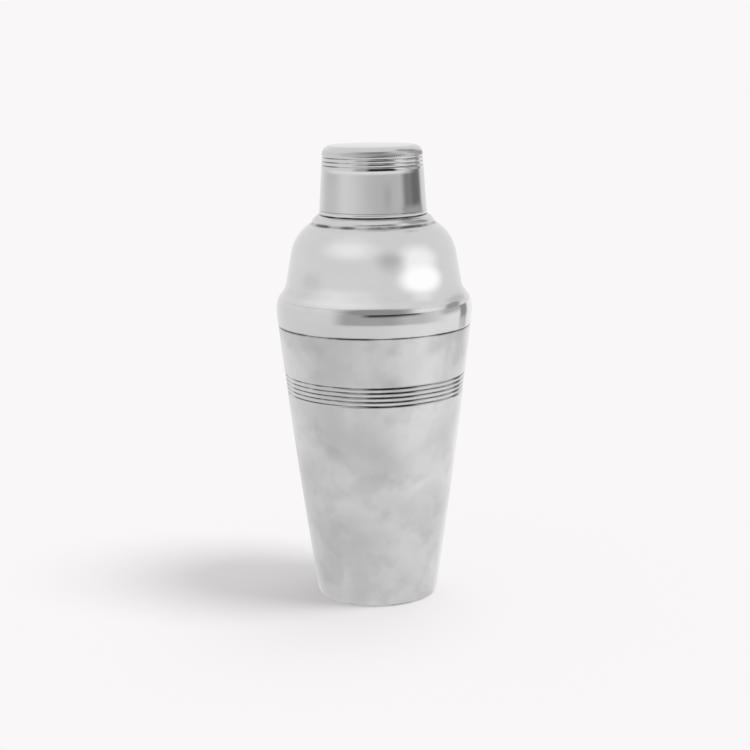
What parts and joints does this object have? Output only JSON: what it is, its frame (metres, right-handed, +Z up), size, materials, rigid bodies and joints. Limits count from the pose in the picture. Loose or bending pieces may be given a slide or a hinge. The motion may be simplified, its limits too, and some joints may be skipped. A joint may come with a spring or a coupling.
{
  "type": "cocktail shaker",
  "caption": "Three-piece cocktail shaker in silver plate: tapered tumbler with a bead band, domed strainer top that plugs into it, and a small cap with a milled edge.",
  "frame": {"origin": "centre of the foot, on the surface that the shaker stands on", "axes": "+Z up along the axis of turning; X and Y are any two level directions at right angles, because every piece is turned about Z"},
  "size_m": [0.096, 0.096, 0.225],
  "materials": {
    "tumbler_silver": "silver plate on brass, polished, softly clouded by wear",
    "top_silver": "silver plate on brass, polished",
    "band_silver": "silver plate on brass, polished bright",
    "cap_silver": "silver plate on brass, polished",
    "milled_silver": "silver plate on brass, milled for grip",
    "inner_silver": "silver plate on brass, satin, unpolished inner faces"
  },
  "bodies": {
    "tumbler": {"tumbler_wall": "tumbler_silver", "tumbler_base": "inner_silver"},
    "strainer_top": {"inner_sleeve": "inner_silver", "skirt_band": "band_silver", "shoulder_dome": "top_silver", "neck_collar": "top_silver", "pouring_neck": "inner_silver", "strainer_plate": "inner_silver"},
    "cap": {"cap_rim_bead": "cap_silver", "cap_wall": "cap_silver", "cap_milled_ring": "milled_silver", "cap_crown": "cap_silver"}
  },
  "joints": [
    {"name": "top_lift", "type": "slide", "parent": "tumbler", "child": "strainer_top", "axis": [0, 0, 1], "range_m": [0, 0.07]},
    {"name": "cap_lift", "type": "slide", "parent": "strainer_top", "child": "cap", "axis": [0, 0, 1], "range_m": [0, 0.045]}
  ]
}
